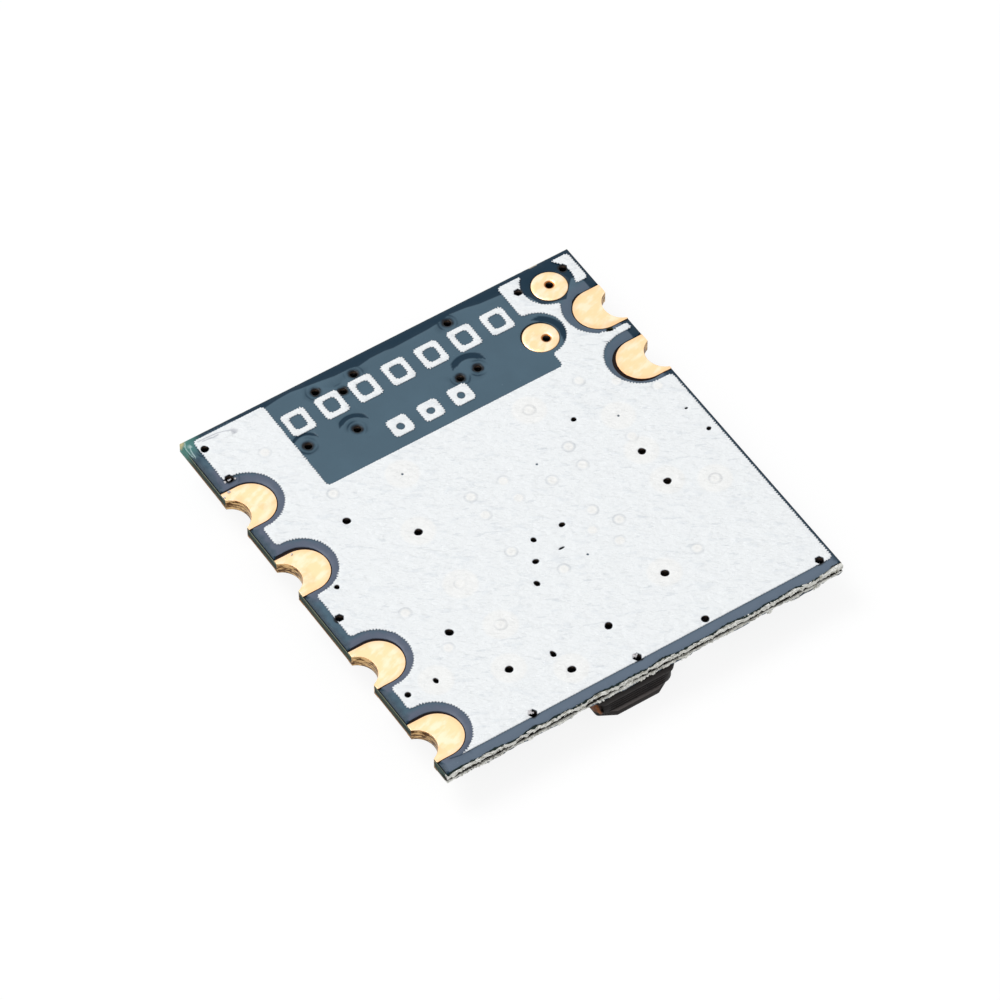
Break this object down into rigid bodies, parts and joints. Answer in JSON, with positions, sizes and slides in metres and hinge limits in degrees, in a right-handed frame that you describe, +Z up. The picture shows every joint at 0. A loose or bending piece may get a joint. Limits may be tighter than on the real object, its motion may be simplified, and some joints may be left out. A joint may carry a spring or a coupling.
{
  "type": "wifi module",
  "caption": "Small square radio board with gold half-round edge contacts, white printed back, blue mask and parts on the hidden side.",
  "frame": {"origin": "under the middle of the board, on the surface that the tallest parts of the component side stand on", "axes": "+X along the broken front edge to the right, +Y to the back edge with the window in the print, +Z up out of the white printed face"},
  "size_m": [0.0122, 0.0129, 0.0014],
  "materials": {
    "glass_laminate": "routed glass and resin laminate",
    "solder_mask": "satin dark blue lacquer",
    "white_print": "matt white ink, slightly rough",
    "gold_plate": "thin gold over nickel, satin",
    "solder": "bright reflowed solder",
    "chip_mould": "fine matt moulding",
    "tin_plate": "matt tin",
    "crystal_ceramic": "dark fired ceramic",
    "quartz": "clear",
    "crystal_lid": "plated sheet",
    "ferrite": "dull charcoal",
    "winding_resin": "dark resin over enamelled wire",
    "capacitor_ceramic": "fired tan ceramic",
    "resistor_glaze": "black glaze",
    "filter_ceramic": "pale fired ceramic"
  },
  "bodies": {
    "root": {"board_laminate": "glass_laminate", "via_barrels": "gold_plate", "solder_mask_back": "solder_mask", "solder_mask_front": "solder_mask", "silkscreen_back": "white_print", "supply_contact": "gold_plate", "data_minus_contact": "gold_plate", "data_plus_contact": "gold_plate", "left_ground_contact": "gold_plate", "antenna_contact": "gold_plate", "right_ground_contact": "gold_plate", "upper_test_pad": "gold_plate", "lower_test_pad": "gold_plate", "front_lands": "gold_plate", "solder_joints": "solder", "wifi_chip_body": "chip_mould", "wifi_chip_leads": "tin_plate", "wifi_chip_paddle": "tin_plate", "crystal_tray": "crystal_ceramic", "quartz_blank": "quartz", "crystal_lid": "crystal_lid", "crystal_pads": "gold_plate", "drum_core": "ferrite", "inductor_winding": "winding_resin", "inductor_terminals": "tin_plate", "supply_capacitor_1": "capacitor_ceramic", "supply_capacitor_1_end_caps": "tin_plate", "supply_capacitor_2": "capacitor_ceramic", "supply_capacitor_2_end_caps": "tin_plate", "supply_capacitor_3": "capacitor_ceramic", "supply_capacitor_3_end_caps": "tin_plate", "supply_capacitor_4": "capacitor_ceramic", "supply_capacitor_4_end_caps": "tin_plate", "crystal_capacitor_1": "capacitor_ceramic", "crystal_capacitor_1_end_caps": "tin_plate", "crystal_capacitor_2": "capacitor_ceramic", "crystal_capacitor_2_end_caps": "tin_plate", "input_capacitor": "capacitor_ceramic", "input_capacitor_end_caps": "tin_plate", "output_capacitor": "capacitor_ceramic", "output_capacitor_end_caps": "tin_plate", "bulk_capacitor": "capacitor_ceramic", "bulk_capacitor_end_caps": "tin_plate", "radio_filter": "filter_ceramic", "radio_filter_end_caps": "tin_plate", "antenna_capacitor": "capacitor_ceramic", "antenna_capacitor_end_caps": "tin_plate", "matching_inductor": "filter_ceramic", "matching_inductor_end_caps": "tin_plate", "matching_capacitor": "capacitor_ceramic", "matching_capacitor_end_caps": "tin_plate", "bias_resistor": "resistor_glaze", "bias_resistor_end_caps": "tin_plate", "pull_up_resistor": "resistor_glaze", "pull_up_resistor_end_caps": "tin_plate"}
  },
  "joints": []
}
